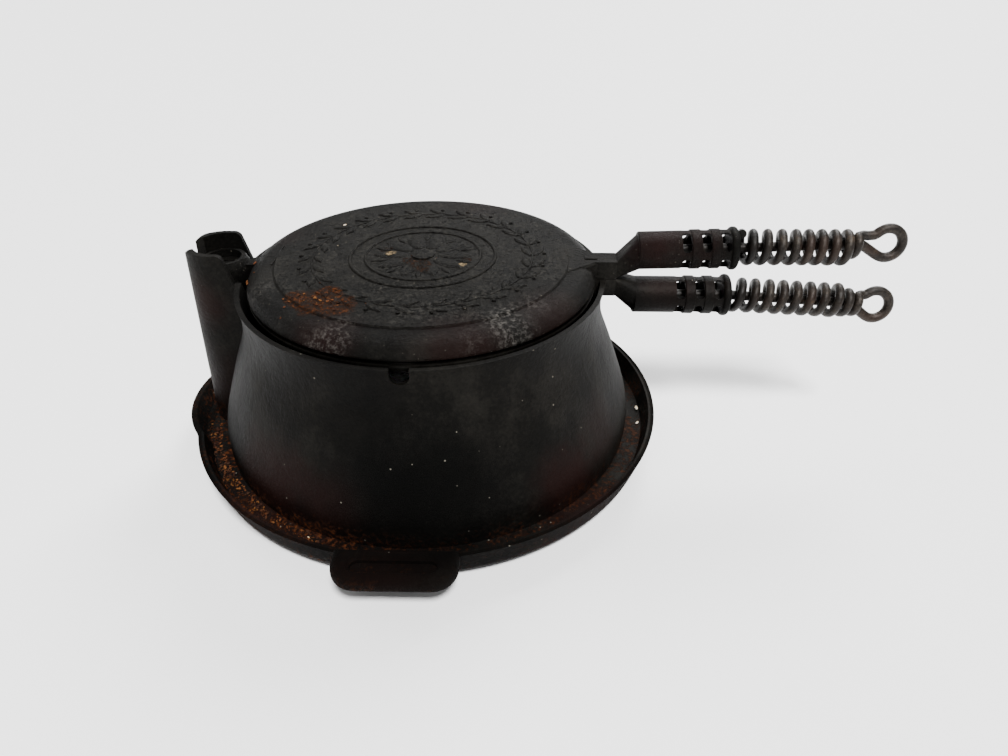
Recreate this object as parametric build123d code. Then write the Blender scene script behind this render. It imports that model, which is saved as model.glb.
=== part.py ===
from build123d import *
import os
from math import cos, radians, sin, sqrt, tan

# Stovetop waffle iron: a cast base with a drip trough stands on the stove, and two round
# cast pans, hinged by a ball, lie in it. Millimetres, +Z up, +X towards the handles, and
# the origin is the centre of the base on the stove top.

# ---- driving dimensions: base ------------------------------------------------------
FOOT_DEPTH = 6.0            # height of the ring that drops over the stove eye
FOOT_OUTER_R = 107.0
FOOT_WALL = 6.0
FLOOR_THICK = 4.0           # floor of the drip trough
WALL_HEIGHT = 95.4          # trough floor to rim
WALL_FOOT_R = 122.8
WALL_THICK = 4.0
RIM_THICK = 2.8
LIP_BOTTOM_R = 135.4
LIP_TOP_R = 140.5
LIP_HEIGHT = 15.0           # underside of the trough to the top of its lip
LIP_THICK = 3.4
LIP_ROUND = 1.4
BULGE_R = 74.0              # the trough swells round the hinge tower on this radius
BULGE_REACH = 8.4           # how far the swelling stands out beyond the round lip
BULGE_BLEND_R = 9.0

# Height down from the rim, and share of the flare, along the wall's outline.
WALL_OUTLINE = (
    (0.0, 0.0),
    (0.1, -0.085),
    (0.235, -0.027),
    (0.43, 0.33),
    (0.61, 0.66),
    (0.79, 0.96),
    (1.0, 1.0),
)

# ---- driving dimensions: tower that holds the hinge ball ------------------------------
BALL_R = 14.9
SOCKET_GAP = 0.4
TOWER_WALL = 3.0
TOWER_SHIFT = 1.4           # its outer face stands this far beyond the socket's own ring
TOWER_FLARE = 4.6           # how far the tower's outer face leans out at its foot
TOWER_SPREAD = 1.2          # how much wider it is on each side there
EAR_HEIGHT = 17.0           # ears above the rim
EAR_SLOPE = 4.5             # their front edges lean back by this much
EAR_SETBACK = 9.9           # from the hinge axis to the foot of the ears' front edges
EAR_FRONT_ROUND = 4.0
EAR_REAR_ROUND = 7.0
REAR_NOTCH_WIDTH = 16.0     # gap in the tower's outer end
REAR_NOTCH_ROUND = 3.0
REAR_NOTCH_DROP = 1.5       # its floor, below the rim
SEAT_THICK = 4.5

# ---- driving dimensions: notches in the rim and tabs on the lip -----------------------
REST_CLEAR = 0.5            # on each side of the handle neck
SEAT_CLEAR = 0.3            # under the handle neck
SIDE_NOTCH_WIDTH = 9.6
SIDE_NOTCH_DEPTH = 8.6
TAB_WIDTH = 62.0
TAB_REACH = 15.5            # beyond the lip
TAB_SHIFT = -3.0            # of its middle, along X
TAB_LAP = 6.0               # how far it laps back over the lip
TAB_THICK = 10.5
TAB_RISE = 3.0              # top of the tab above the top of the lip
TAB_CORNER = 13.0
TAB_EDGE = 4.6
POCKET_LENGTH = 42.0
POCKET_WIDTH = 7.6
POCKET_DEPTH = 3.6
POCKET_SETBACK = 9.8        # of its middle, from the tab's outer face
POCKET_EDGE = 1.6

# ---- driving dimensions: pans -----------------------------------------------------------
PAN_R = 97.8
PAN_SHIFT = 0.8             # of the pans' centre from the base's, towards the handles
PAN_GAP = 3.6               # the rim's inside is this much larger than the pans
PARTING_GAP = 0.3
REBATE_HEIGHT = 1.4         # the pans' edges are cut back beside the parting
REBATE_DEPTH = 1.3
SHOULDER_R = 10.4           # radius of the rounded shoulder
SHOULDER_HEIGHT = 9.8
PLATEAU_R = 82.5
PLATEAU_HEIGHT = 10.9
PLATEAU_ROUND = 0.5
FIELD_R = 88.0              # waffle field
FIELD_DRAFT = 1.4
PLATE_THICK = 3.7
LIP_RELIEF_R = 19.0         # round the hinge axis, so that the edge clears the ears

# ---- driving dimensions: waffle pattern ---------------------------------------------------
STUD_PITCH = 15.6
STUD_FOOT = 11.4
STUD_HEIGHT = 5.0
STUD_DRAFT = 14.0           # degrees
RIB_WIDTH = 3.0             # ribs that part the waffle into quarters
RIB_CLEAR = 0.6             # from their edge to the parting
STUD_CLEAR_OF_EDGE = 3.0
SMALLEST_STUD = 120.0       # mm3: smaller scraps at the field's edge are left off

# ---- driving dimensions: hinge -----------------------------------------------------------
TONGUE_HALF = 4.1
TONGUE_CLEAR = 0.4
TONGUE_R = 6.5
TRUNNION_R = 2.8
TRUNNION_LENGTH = 2.4
TRUNNION_FIT = 0.08
NECK_DEPTH = 5.8            # each half of the neck between ball and pan
BALL_CROWN = 9.0            # flat top of the ball, above the hinge axis
HINGE_SETBACK = 16.4        # of the hinge axis, outside the pans' edge
BALL_WELL_R = 9.8
BALL_WELL_FLOOR = 4.5
FOOT_SECTOR_START = 282.0   # degrees round the hinge axis, from the pans upwards

# ---- driving dimensions: handles ---------------------------------------------------------
GRIP_NECK_WIDTH = 13.0
GRIP_NECK_HEIGHT = 10.4
GRIP_NECK_END = 11.5        # beyond the pan's edge
GRIP_NECK_EDGE = 1.2
GUSSET_WIDTH = 40.0
GUSSET_EDGE = 1.2
HINGE_GUSSET_WIDTH = 26.0
PAD_LENGTH = 7.0
PAD_WIDTH = 6.0
PAD_HEIGHT = 0.6
PAD_SETBACK = 3.0           # its middle, inside the pan's edge
BARREL_R = 10.5
BARREL_EDGE = 0.6
THROAT_STEP = 0.2           # the swelling neck ends just under the barrel's skin
THROAT_LAP = 1.5
BARREL_START = 22.6         # beyond the pan's edge
BARREL_OFFSET = {"upper": 14.9, "lower": 12.3}  # of its axis from the parting, where it starts
CAGE_START = 23.8           # along the barrel, to the first row of windows
WINDOW_LENGTH = 5.2
WINDOW_WIDTH = 11.4
WINDOW_ROUND = 2.2
WINDOW_PITCH = 10.8
WINDOW_ROWS = 3
WINDOWS_IN_ROW = 4
CAGE_WALL = 2.4
CAGE_RING_PROUD = 0.5
COLLAR_R = 12.0
COLLAR_LENGTH = 4.4
ROD_R = 2.8
ROD_FIT = 0.06
ROD_THREAD = 14.0           # depth of rod held in the barrel
EYE_WIRE_R = 8.2            # of the eye's centre line
EYE_LEG_ANGLE = 35.0        # each leg leaves the rod's axis at this angle
EYE_BEND_R = 3.5
EYE_LEG_GAP = 0.8           # between the legs where the second one ends
EYE_TURN = {"upper": -8.0, "lower": 12.0}       # degrees, about the rod
COIL_WIRE_R = 2.5
COIL_R = 7.7                # of the wire's centre line
COIL_TURNS = {"upper": 9, "lower": 10}
COIL_SEAT = 0.1             # from the collar
COIL_OVERRUN = 2.2          # past the start of the eye's bend
SPLAY = {"upper": 2.0, "lower": 0.0}            # degrees, of the barrel from the parting
ROD_SPLAY = {"upper": 2.6, "lower": 3.6}        # degrees, of the rod beyond the collar
GRIP_LENGTH = {"upper": 67.8, "lower": 70.6}    # collar to the start of the eye

# ---- worked out from them ------------------------------------------------------------------
FLOOR_TOP = FOOT_DEPTH + FLOOR_THICK
PARTING_Z = FLOOR_TOP + WALL_HEIGHT
LIP_TOP = FOOT_DEPTH + LIP_HEIGHT
RIM_INNER_R = PAN_R + PAN_GAP
RIM_R = RIM_INNER_R + RIM_THICK
HINGE_X = PAN_SHIFT - PAN_R - HINGE_SETBACK
SOCKET_R = BALL_R + SOCKET_GAP
TOWER_R = SOCKET_R + TOWER_WALL
SEAT_BOTTOM = PARTING_Z - SOCKET_R - SEAT_THICK
HALF_GAP = PARTING_GAP / 2
CHEEK_HALF = TONGUE_HALF + TONGUE_CLEAR
FIELD_FLOOR = PLATEAU_HEIGHT - PLATE_THICK
BARREL_X = PAN_SHIFT + PAN_R + BARREL_START
CAGE_END = CAGE_START + WINDOW_ROWS * WINDOW_PITCH - (WINDOW_PITCH - WINDOW_LENGTH)
COLLAR_END = CAGE_END + COLLAR_LENGTH
FAR = 400.0                 # longer than the whole object


def block(x0, x1, y0, y1, z0, z1):
    """A box between two corners."""
    centre = ((x0 + x1) / 2, (y0 + y1) / 2, (z0 + z1) / 2)
    return Pos(*centre) * Box(x1 - x0, y1 - y0, z1 - z0)


def cone(r_low, r_high, z0, z1, x=0.0):
    """An upright frustum between two heights."""
    return Pos(x, 0, (z0 + z1) / 2) * Cone(r_low, r_high, z1 - z0)


def side_cylinder(radius, half_length, x=0.0, z=0.0):
    """A cylinder that lies along Y."""
    return Pos(x, 0, z) * Rot(90, 0, 0) * Cylinder(radius, 2 * half_length)


def turned(points):
    """The solid swept round Z by a closed outline of edges in the XZ plane."""
    return revolve(make_face(points), Axis.Z)


# ---- base --------------------------------------------------------------------------------
def wall_point(down, share, thickness):
    """A point of the wall's outline, moved in by a thickness."""
    flare = WALL_FOOT_R - RIM_R
    return (RIM_R + share * flare - thickness, 0, PARTING_Z - down * WALL_HEIGHT)


def wall_solid(thin, thick):
    """What lies inside the wall's outline, moved in from rim to foot by two thicknesses."""
    outline = [wall_point(down, share, thin + (thick - thin) * down) for down, share in WALL_OUTLINE]
    foot = outline[-1]
    curve = Spline(*outline)
    ends = Polyline(foot, (0, 0, foot[2]), (0, 0, PARTING_Z), outline[0])
    return turned([curve, *ends.edges()])


def trough():
    """The drip trough with its leaning lip, swollen round the tower."""
    bulge_x = -(LIP_TOP_R + BULGE_REACH - BULGE_R)
    lean = (LIP_TOP_R - LIP_BOTTOM_R) / LIP_HEIGHT
    inner_low = LIP_BOTTOM_R + FLOOR_THICK * lean - LIP_THICK
    inner_high = LIP_TOP_R - LIP_THICK
    shrink = LIP_TOP_R - BULGE_R
    outside = cone(LIP_BOTTOM_R, LIP_TOP_R, FOOT_DEPTH, LIP_TOP)
    outside += cone(LIP_BOTTOM_R - shrink, BULGE_R, FOOT_DEPTH, LIP_TOP, bulge_x)
    outside = soften_crotch(outside)
    inside = cone(inner_low, inner_high, FLOOR_TOP, LIP_TOP)
    inside += cone(inner_low - shrink, inner_high - shrink, FLOOR_TOP, LIP_TOP, bulge_x)
    inside = soften_crotch(inside)
    return outside - inside


def soften_crotch(dish):
    """Round the two upright creases where the swelling leaves the round lip."""
    creases = [e for e in dish.edges() if abs(e.tangent_at(0.5).Z) > 0.3]
    creases = [e for e in creases if abs(e.center().Y) > BULGE_R / 3]
    return fillet(creases, BULGE_BLEND_R)


def tower_section(radius, lean, z):
    """The tower's outline: a round outer end with straight sides that run into the wall."""
    centre_x = HINGE_X - TOWER_SHIFT - lean
    round_end = Pos(centre_x, 0) * Circle(radius)
    inner_x = -(RIM_INNER_R - WALL_THICK)
    sides = Pos((centre_x + inner_x) / 2, 0) * Rectangle(inner_x - centre_x, 2 * radius)
    return Pos(0, 0, z) * (round_end + sides)


def tower_shape(inset, z0, z1):
    """The leaning tower between two heights, with its sides moved in by inset."""
    full = PARTING_Z + EAR_HEIGHT - FLOOR_TOP
    sections = []
    for z in (z0, z1):
        share = (PARTING_Z + EAR_HEIGHT - z) / full
        radius = TOWER_R + share * TOWER_SPREAD - inset
        sections.append(tower_section(radius, share * (TOWER_FLARE - TOWER_SPREAD), z))
    return loft(sections)


def ears_trim():
    """What is cut from the tower above the rim, so that the ears keep their rounded outline."""
    foot_x = HINGE_X + EAR_SETBACK
    top_z = PARTING_Z + EAR_HEIGHT
    rear_x = HINGE_X - TOWER_SHIFT - TOWER_R
    kept = Polyline(
        (foot_x, 0, PARTING_Z),
        (foot_x - EAR_SLOPE, 0, top_z),
        (rear_x, 0, top_z),
        (rear_x, 0, PARTING_Z),
        close=True,
    )
    ear = make_face(kept)
    top_corners = ear.vertices().sort_by(Axis.Z)[-2:].sort_by(Axis.X)
    ear = fillet(top_corners[0], EAR_REAR_ROUND)
    ear = fillet(ear.vertices().group_by(Axis.Z)[-1].sort_by(Axis.X)[-1], EAR_FRONT_ROUND)
    ear = extrude(ear, 2 * TOWER_R, both=True, dir=(0, 1, 0))
    above = block(rear_x - 1, 0, -2 * TOWER_R, 2 * TOWER_R, PARTING_Z, top_z + 1)
    return above - ear


def rear_notch():
    """The gap in the tower's outer end, with rounded corners in its floor."""
    half = REAR_NOTCH_WIDTH / 2
    bottom = PARTING_Z - REAR_NOTCH_DROP
    notch = block(HINGE_X - 2 * TOWER_R, HINGE_X, -half, half, bottom, PARTING_Z + 2 * EAR_HEIGHT)
    floor = notch.faces().sort_by(Axis.Z)[0].edges() | Axis.X
    return fillet(floor, REAR_NOTCH_ROUND)


def socket():
    """The space for the ball: a round seat, open above and towards the pans."""
    top = PARTING_Z + 2 * EAR_HEIGHT
    inner_x = -(RIM_INNER_R - 2 * WALL_THICK)
    space = Pos(HINGE_X, 0, PARTING_Z) * Rot(30, 90, 0) * Sphere(SOCKET_R)
    space += Pos(HINGE_X, 0, (PARTING_Z + top) / 2) * Cylinder(SOCKET_R, top - PARTING_Z)
    channel = Pos((HINGE_X + inner_x) / 2, 0, PARTING_Z) * Rot(0, 90, 0) * Cylinder(SOCKET_R, inner_x - HINGE_X)
    return space + channel + block(HINGE_X, inner_x, -SOCKET_R, SOCKET_R, PARTING_Z, top)


def tab():
    """The front tab on the lip, with a rounded pocket in its top."""
    outer_y = -(LIP_TOP_R + TAB_REACH)
    inner_y = -(LIP_TOP_R - TAB_LAP)
    top = LIP_TOP + TAB_RISE
    x0 = TAB_SHIFT - TAB_WIDTH / 2
    body = block(x0, x0 + TAB_WIDTH, outer_y, inner_y, top - TAB_THICK, top)
    body = fillet((body.edges() | Axis.Z).sort_by(Axis.Y)[:2], TAB_CORNER)
    faces = body.faces().sort_by(Axis.Z)
    body = fillet(faces[0].edges() + faces[-1].edges(), TAB_EDGE)
    slot = Pos(TAB_SHIFT, outer_y + POCKET_SETBACK, top - POCKET_DEPTH) * SlotOverall(POCKET_LENGTH, POCKET_WIDTH)
    body -= extrude(slot, POCKET_DEPTH + 1)
    mouth = [e for e in body.edges() if e.center().Z > top - 0.01 and abs(e.center().Y - outer_y) < TAB_CORNER]
    mouth = [e for e in mouth if abs(e.center().Y - outer_y - POCKET_SETBACK) < POCKET_WIDTH * 0.6]
    return chamfer(mouth, POCKET_EDGE)


def base():
    """The base casting."""
    foot = Pos(0, 0, FLOOR_TOP / 2) * Cylinder(FOOT_OUTER_R, FLOOR_TOP)
    shell = trough() + foot + wall_solid(0, 0)
    shell += tower_shape(0, FLOOR_TOP - 1, PARTING_Z + EAR_HEIGHT)
    tabs = tab()
    shell += [tabs, mirror(tabs, Plane.XZ)]
    eye_hole = Pos(0, 0, FLOOR_TOP / 2) * Cylinder(FOOT_OUTER_R - FOOT_WALL, 2 * FLOOR_TOP)
    shell -= [eye_hole, wall_solid(RIM_THICK, WALL_THICK)]
    hollow = tower_shape(WALL_THICK, FLOOR_TOP, SEAT_BOTTOM)
    shell -= [hollow, socket(), ears_trim(), rear_notch()]
    shell -= rest_notch()
    for side in (-1, 1):
        shell -= side_notch(side)
    return shell


def rest_notch():
    """The notch in the rim that the handle necks lie in."""
    half = GRIP_NECK_WIDTH / 2 + REST_CLEAR
    bottom = PARTING_Z - GRIP_NECK_HEIGHT - SEAT_CLEAR
    return block(PAN_R / 2, RIM_R + WALL_THICK, -half, half, bottom, PARTING_Z + 1)


def side_notch(side):
    """A round-bottomed notch in the rim, at the front or the back."""
    half = SIDE_NOTCH_WIDTH / 2
    floor_z = PARTING_Z - SIDE_NOTCH_DEPTH + half
    y = side * RIM_R
    slot = Pos(0, y, floor_z) * Rot(90, 0, 0) * Cylinder(half, 4 * WALL_THICK)
    return slot + block(-half, half, y - 2 * WALL_THICK, y + 2 * WALL_THICK, floor_z, PARTING_Z + 1)


# ---- pans: drawn as the upper one, with the parting at z = 0 -----------------------------
def pan_disc():
    """The round plate: plateau, shoulder, edge and the hollow for the batter."""
    edge_r = PAN_R - REBATE_DEPTH
    arc_x = PAN_R - SHOULDER_R + 0.4
    arc_z = SHOULDER_HEIGHT - SHOULDER_R
    arc_end_z = arc_z + sqrt(SHOULDER_R**2 - (PAN_R - arc_x) ** 2)
    arc_mid = (arc_x + SHOULDER_R * sin(radians(40)), 0, arc_z + SHOULDER_R * cos(radians(40)))
    inside = Polyline(
        (0, 0, PLATEAU_HEIGHT),
        (0, 0, FIELD_FLOOR),
        (FIELD_R - FIELD_DRAFT, 0, FIELD_FLOOR),
        (FIELD_R, 0, HALF_GAP),
        (edge_r, 0, HALF_GAP),
        (edge_r, 0, REBATE_HEIGHT),
        (PAN_R, 0, REBATE_HEIGHT),
        (PAN_R, 0, arc_end_z),
    )
    shoulder = ThreePointArc((PAN_R, 0, arc_end_z), arc_mid, (arc_x, 0, SHOULDER_HEIGHT))
    top = Polyline(
        (arc_x, 0, SHOULDER_HEIGHT),
        (PLATEAU_R + PLATEAU_ROUND, 0, SHOULDER_HEIGHT),
        (PLATEAU_R, 0, PLATEAU_HEIGHT - PLATEAU_ROUND),
        (PLATEAU_R - PLATEAU_ROUND, 0, PLATEAU_HEIGHT),
        (0, 0, PLATEAU_HEIGHT),
    )
    return turned([*inside.edges(), shoulder, *top.edges()])


def waffle_studs():
    """The square studs of the field, in four quarters, trimmed round at its edge."""
    stud = extrude(Rectangle(STUD_FOOT, STUD_FOOT), -STUD_HEIGHT, taper=STUD_DRAFT)
    limit = FIELD_R - STUD_CLEAR_OF_EDGE
    trim = Cylinder(limit, 4 * PLATEAU_HEIGHT)
    reach = STUD_FOOT / 2
    first = RIB_WIDTH / 2 + STUD_PITCH / 2
    count = int(limit / STUD_PITCH) + 1
    places = [sign * (first + i * STUD_PITCH) for i in range(count) for sign in (-1, 1)]
    studs = []
    for x in places:
        for y in places:
            near = sqrt((abs(x) - reach) ** 2 + (abs(y) - reach) ** 2)
            corner = sqrt((abs(x) + reach) ** 2 + (abs(y) + reach) ** 2)
            if near > limit:
                continue
            one = Pos(x, y, FIELD_FLOOR) * stud
            if corner > limit:
                one = one & trim
            if one.volume > SMALLEST_STUD:
                studs.append(one)
    return studs


def quarter_ribs():
    """The two crossing ribs that part the waffle into quarters."""
    length = 2 * FIELD_R + 1
    half = RIB_WIDTH / 2
    lengthwise = block(-length / 2, length / 2, -half, half, RIB_CLEAR, PLATEAU_HEIGHT - 1)
    return [lengthwise, Rot(0, 0, 90) * lengthwise]


def gusset():
    """The wedge that carries the plateau's level out to the handle neck."""
    root_x = PLATEAU_R - 1.5
    tip_x = PAN_R + 0.5
    half_root = GUSSET_WIDTH / 2
    half_tip = GRIP_NECK_WIDTH / 2
    outline = Polyline(
        (root_x, -half_root),
        (tip_x, -half_tip),
        (tip_x, half_tip),
        (root_x, half_root),
        close=True,
    )
    wedge = extrude(make_face(outline), GRIP_NECK_HEIGHT - REBATE_HEIGHT)
    wedge = Pos(0, 0, REBATE_HEIGHT) * wedge
    top = wedge.faces().sort_by(Axis.Z)[-1].edges()
    slanted = [e for e in top if abs(e.tangent_at(0.5).X) > 0.2]
    return chamfer(slanted, GUSSET_EDGE)


def grip_neck(side):
    """The flat neck from the pan's edge, swelling up into the round barrel."""
    half = GRIP_NECK_WIDTH / 2
    pan_edge = PAN_SHIFT + PAN_R
    start = FIELD_R + 2
    end = pan_edge + GRIP_NECK_END
    neck = block(start, end, -half, half, HALF_GAP, GRIP_NECK_HEIGHT)
    pad_x = pan_edge - PAD_SETBACK
    pad = block(pad_x - PAD_LENGTH / 2, pad_x + PAD_LENGTH / 2, -PAD_WIDTH / 2, PAD_WIDTH / 2,
                GRIP_NECK_HEIGHT - 1, GRIP_NECK_HEIGHT + PAD_HEIGHT)
    middle = (HALF_GAP + GRIP_NECK_HEIGHT) / 2
    flat = Plane(origin=(end, 0, middle), x_dir=(0, 1, 0), z_dir=(1, 0, 0))
    flat_end = flat * RectangleRounded(GRIP_NECK_WIDTH, GRIP_NECK_HEIGHT - HALF_GAP, GRIP_NECK_EDGE)
    throat_r = BARREL_R - THROAT_STEP
    round_end = RectangleRounded(2 * throat_r, 2 * throat_r, throat_r * 0.98)
    round_end = on_handle(Pos(0, 0, THROAT_LAP) * Rot(0, 0, 90) * round_end, side)
    return neck + pad + loft([flat_end, round_end])


def along(radius, start, end):
    """A cylinder on the handle's own axis, which is Z until the handle is placed."""
    return Pos(0, 0, (start + end) / 2) * Cylinder(radius, end - start)


def windows(start):
    """One row of rounded openings round the cage, midway between its top, sides and bottom."""
    outline = Pos(0, start + WINDOW_LENGTH / 2) * RectangleRounded(WINDOW_WIDTH, WINDOW_LENGTH, WINDOW_ROUND)
    outline = Plane.XZ.offset(BARREL_R / 2) * outline
    opening = extrude(outline, BARREL_R)
    step = 360 / WINDOWS_IN_ROW
    return [Rot(0, 0, step * (i + 0.5)) * opening for i in range(WINDOWS_IN_ROW)]


def barrel():
    """The barrel, its cage and the collar, along Z from where the barrel starts."""
    ring_r = BARREL_R + CAGE_RING_PROUD
    solid = along(BARREL_R, 0, CAGE_END)
    solid = chamfer(solid.faces().sort_by(Axis.Z)[0].edges(), BARREL_EDGE)
    for i in range(WINDOW_ROWS - 1):
        start = CAGE_START + WINDOW_LENGTH + i * WINDOW_PITCH
        band = along(ring_r, start, start + WINDOW_PITCH - WINDOW_LENGTH)
        solid += chamfer(band.edges() | GeomType.CIRCLE, CAGE_RING_PROUD * 0.7)
    solid -= along(BARREL_R - CAGE_WALL, CAGE_START, CAGE_END)
    for i in range(WINDOW_ROWS):
        solid -= windows(CAGE_START + i * WINDOW_PITCH)
    collar = along(COLLAR_R, CAGE_END, COLLAR_END)
    solid += fillet(collar.edges() | GeomType.CIRCLE, COLLAR_LENGTH * 0.42)
    solid -= along(ROD_R + ROD_FIT, CAGE_START - ROD_THREAD, COLLAR_END + 1)
    return solid


def on_handle(piece, side):
    """Stand a piece drawn along Z on the barrel's axis, above the parting."""
    return Pos(BARREL_X, 0, BARREL_OFFSET[side]) * Rot(0, 90 - SPLAY[side], 0) * piece


def on_rod(piece, side):
    """Stand a piece drawn along Z on the rod's axis, from the collar's end."""
    bent = Rot(0, SPLAY[side] - ROD_SPLAY[side], 0) * piece
    return on_handle(Pos(0, 0, COLLAR_END) * bent, side)


def eye(neck_end, turned_by):
    """The eye: the wire bends off the rod's axis, goes round and comes back beside itself."""
    angle = radians(EYE_LEG_ANGLE)
    bend_end = (EYE_BEND_R * (1 - cos(angle)), EYE_BEND_R * sin(angle))
    touch_x = EYE_WIRE_R * cos(angle)
    touch_z = bend_end[1] + (touch_x - bend_end[0]) / tan(angle)
    tip_x = ROD_R / cos(angle) + EYE_LEG_GAP / 2
    tip_z = touch_z - (touch_x - tip_x) / tan(angle)
    centre_z = touch_z + EYE_WIRE_R * sin(angle)
    turn = 180 + 2 * EYE_LEG_ANGLE
    path = [
        CenterArc((EYE_BEND_R, 0), EYE_BEND_R, 180, -EYE_LEG_ANGLE),
        Line(bend_end, (touch_x, touch_z)),
        CenterArc((0, centre_z), EYE_WIRE_R, -EYE_LEG_ANGLE, turn),
        Line((-touch_x, touch_z), (-tip_x, tip_z)),
    ]
    wire = Wire([Plane.XZ * edge for edge in path])
    return Pos(0, 0, neck_end) * Rot(0, 0, turned_by) * sweep(Circle(ROD_R), path=wire)


def handle_rod(side):
    """The rod: held in the barrel, it bends at the collar, carries the coil and ends in an eye."""
    held = along(ROD_R, CAGE_START - ROD_THREAD, COLLAR_END)
    bend = Pos(0, 0, COLLAR_END) * Sphere(ROD_R)
    free = along(ROD_R, 0, GRIP_LENGTH[side]) + eye(GRIP_LENGTH[side], EYE_TURN[side])
    return on_handle(held + bend, side) + on_rod(free, side)


def coil_grip(side):
    """The coiled wire grip between the collar and the eye."""
    first = COIL_SEAT + COIL_WIRE_R
    length = GRIP_LENGTH[side] + COIL_OVERRUN - COIL_WIRE_R - first
    left_handed = side == "upper"   # the lower one is mirrored when it is placed
    line = Helix(length / COIL_TURNS[side], length, COIL_R, lefthand=left_handed)
    section = Plane(line @ 0, z_dir=line % 0) * Circle(COIL_WIRE_R)
    wire = sweep(section, path=line, is_frenet=True)
    start = 180 if left_handed else 0   # both start above the rod
    return on_rod(Pos(0, 0, first) * Rot(0, 0, start) * wire, side)


# ---- hinge: drawn round its own axis, along Y, with the pans towards +X -------------------
def slab(z0, z1, half, x0=-FAR, x1=FAR):
    """What lies between two heights within a half width."""
    return block(x0, x1, -half, half, z0, z1)


def upper_hinge_half():
    """The ball: two full cheeks joined by a saddle, a well in its flat crown, and the neck."""
    ball = Sphere(BALL_R)
    cheeks = ball - slab(-FAR, FAR, CHEEK_HALF)
    saddle = (ball & slab(HALF_GAP, FAR, CHEEK_HALF)) - side_cylinder(TONGUE_R + TONGUE_CLEAR, FAR)
    neck = slab(HALF_GAP, NECK_DEPTH, TONGUE_HALF, BALL_R * 0.8, HINGE_SETBACK + 2 * REBATE_DEPTH)
    well = Pos(0, 0, BALL_CROWN) * Cylinder(BALL_WELL_R, 2 * (BALL_CROWN - BALL_WELL_FLOOR))
    bore_r = TRUNNION_R + TRUNNION_FIT
    bore_half = CHEEK_HALF + TRUNNION_LENGTH
    hook = side_cylinder(bore_r, bore_half) + slab(-bore_r, bore_r, bore_half, -BALL_R, 0)
    hook -= slab(HALF_GAP, FAR, CHEEK_HALF)
    half = cheeks + saddle + neck
    return half - [slab(BALL_CROWN, FAR, FAR), well, hook]


def lower_hinge_half():
    """The tongue with its two trunnions, the foot that bears in the seat, and the neck."""
    ball = Sphere(BALL_R)
    crown = BALL_WELL_FLOOR - TONGUE_CLEAR
    tongue = side_cylinder(TONGUE_R, TONGUE_HALF) & slab(-FAR, crown, TONGUE_HALF)
    end = radians(FOOT_SECTOR_START)
    corner = (0, 0, 0)
    wedge = Polyline(corner, (FAR * cos(end), 0, FAR * sin(end)), (FAR, 0, -FAR), (FAR, 0, 0), close=True)
    sector = extrude(make_face(wedge), TONGUE_HALF, both=True)
    foot = ball & sector & slab(-FAR, -HALF_GAP, TONGUE_HALF)
    neck = slab(-NECK_DEPTH, -HALF_GAP, TONGUE_HALF, TONGUE_R * 0.8, HINGE_SETBACK + 2 * REBATE_DEPTH)
    trunnions = side_cylinder(TRUNNION_R, CHEEK_HALF + TRUNNION_LENGTH - TRUNNION_FIT)
    return tongue + foot + neck + trunnions


# ---- pans in their places ------------------------------------------------------------------
def hinge_gusset():
    """The slope from the pan's plateau down to the hinge neck."""
    edge = PAN_SHIFT - PAN_R
    outer = Plane(origin=(edge - REBATE_DEPTH, 0, 0), x_dir=(0, 1, 0), z_dir=(1, 0, 0))
    inner = Plane(origin=(PAN_SHIFT - PLATEAU_R, 0, 0), x_dir=(0, 1, 0), z_dir=(1, 0, 0))
    low = outer * Pos(0, (REBATE_HEIGHT + NECK_DEPTH) / 2) * Rectangle(2 * TONGUE_HALF, NECK_DEPTH - REBATE_HEIGHT)
    top = PLATEAU_HEIGHT - PLATEAU_ROUND
    high = inner * Pos(0, (REBATE_HEIGHT + top) / 2) * Rectangle(HINGE_GUSSET_WIDTH, top - REBATE_HEIGHT)
    return loft([low, high])


def plain_pan(side):
    """All of a pan but its hinge half, with the parting at z = 0 and the outside upwards."""
    ear_relief = side_cylinder(LIP_RELIEF_R, FAR, HINGE_X) - slab(-FAR, FAR, TONGUE_HALF)
    field = [pan_disc(), *quarter_ribs(), *waffle_studs()]
    disc = Pos(PAN_SHIFT, 0, 0) * (field[0] + field[1:])
    disc = disc - ear_relief
    barrel_side = on_handle(barrel(), side)
    return disc + [Pos(PAN_SHIFT, 0, 0) * gusset(), hinge_gusset(), grip_neck(side), barrel_side]


def upper_pan():
    """The lid, in its place."""
    whole = plain_pan("upper") + Pos(HINGE_X, 0, 0) * upper_hinge_half()
    return Pos(0, 0, PARTING_Z) * whole


def lower_pan():
    """The pan that lies in the base, in its place."""
    whole = mirror(plain_pan("lower"), Plane.XY) + Pos(HINGE_X, 0, 0) * lower_hinge_half()
    return Pos(0, 0, PARTING_Z) * whole


def placed(piece, side):
    """A handle piece in its place on the upper or the lower pan."""
    if side == "lower":
        piece = mirror(piece, Plane.XY)
    return Pos(0, 0, PARTING_Z) * piece


def write(name, piece):
    """Write one piece as its own file."""
    piece.label = name
    export_step(piece, f"parts/{name}.step")


def main():
    os.makedirs("parts", exist_ok=True)
    write("base", base())
    write("lower_pan", lower_pan())
    write("upper_pan", upper_pan())
    for side in ("lower", "upper"):
        write(f"{side}_handle_rod", placed(handle_rod(side), side))
        write(f"{side}_coil_grip", placed(coil_grip(side), side))


main()
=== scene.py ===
from math import cos, pi, radians, sin, tan
from random import Random

import bpy
from mathutils import Matrix, Vector


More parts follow.
